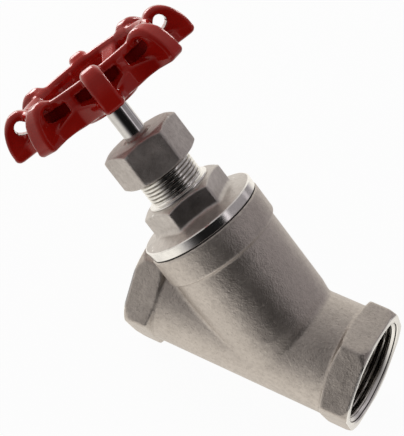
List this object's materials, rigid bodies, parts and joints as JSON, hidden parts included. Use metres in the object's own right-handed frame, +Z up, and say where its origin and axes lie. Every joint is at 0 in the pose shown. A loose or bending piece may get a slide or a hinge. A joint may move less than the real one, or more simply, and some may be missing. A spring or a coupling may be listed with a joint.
{
  "type": "angle seat valve",
  "caption": "Stainless angle seat valve with a leaning stem, threaded hexagonal ports, screwed bonnet, packed gland and a red lobed handwheel.",
  "frame": {"origin": "on the axis of the run where the inlet thread starts, 1.925 mm inside the inlet face", "axes": "+X out of the inlet port along the run, +Z up, the stem leans back over the outlet in the XZ plane"},
  "size_m": [0.1569, 0.083, 0.1442],
  "materials": {
    "cast_steel": "bead-blasted casting, satin",
    "bonnet_steel": "blasted hexagon with turned bright rim and thread",
    "nut_steel": "blasted, satin",
    "turned_steel": "fine turned, bright",
    "polished_steel": "polished",
    "packing_white": "smooth, waxy",
    "gasket_black": "matt",
    "red_paint": "gloss red paint on a casting"
  },
  "bodies": {
    "valve": {"valve_body": "cast_steel", "bonnet_gasket": "gasket_black", "bonnet": "bonnet_steel", "packing_washer": "turned_steel", "packing_ring_1": "packing_white", "packing_ring_2": "packing_white", "packing_ring_3": "packing_white", "packing_ring_4": "packing_white", "gland_follower": "turned_steel", "gland_nut": "nut_steel"},
    "closure": {"plug": "turned_steel", "plug_trap_nut": "turned_steel", "seal_ring": "packing_white", "seal_washer": "turned_steel", "seal_nut": "turned_steel"},
    "spindle": {"stem": "polished_steel", "handwheel": "red_paint", "wheel_washer": "turned_steel", "wheel_nut": "turned_steel"}
  },
  "joints": [
    {"name": "plug_lift", "type": "slide", "parent": "valve", "child": "closure", "axis": [-0.7071, 0, 0.7071], "range_m": [0, 0.01]},
    {"name": "stem_turn", "type": "hinge", "parent": "closure", "child": "spindle", "pos_m": [-0.03377, 0, 0], "axis": [-0.7071, 0, 0.7071], "range_deg": [0, 1440]}
  ],
  "couplings": [
    {"joint": "plug_lift", "follows": "stem_turn", "m_per_rad": 0.00039789}
  ]
}
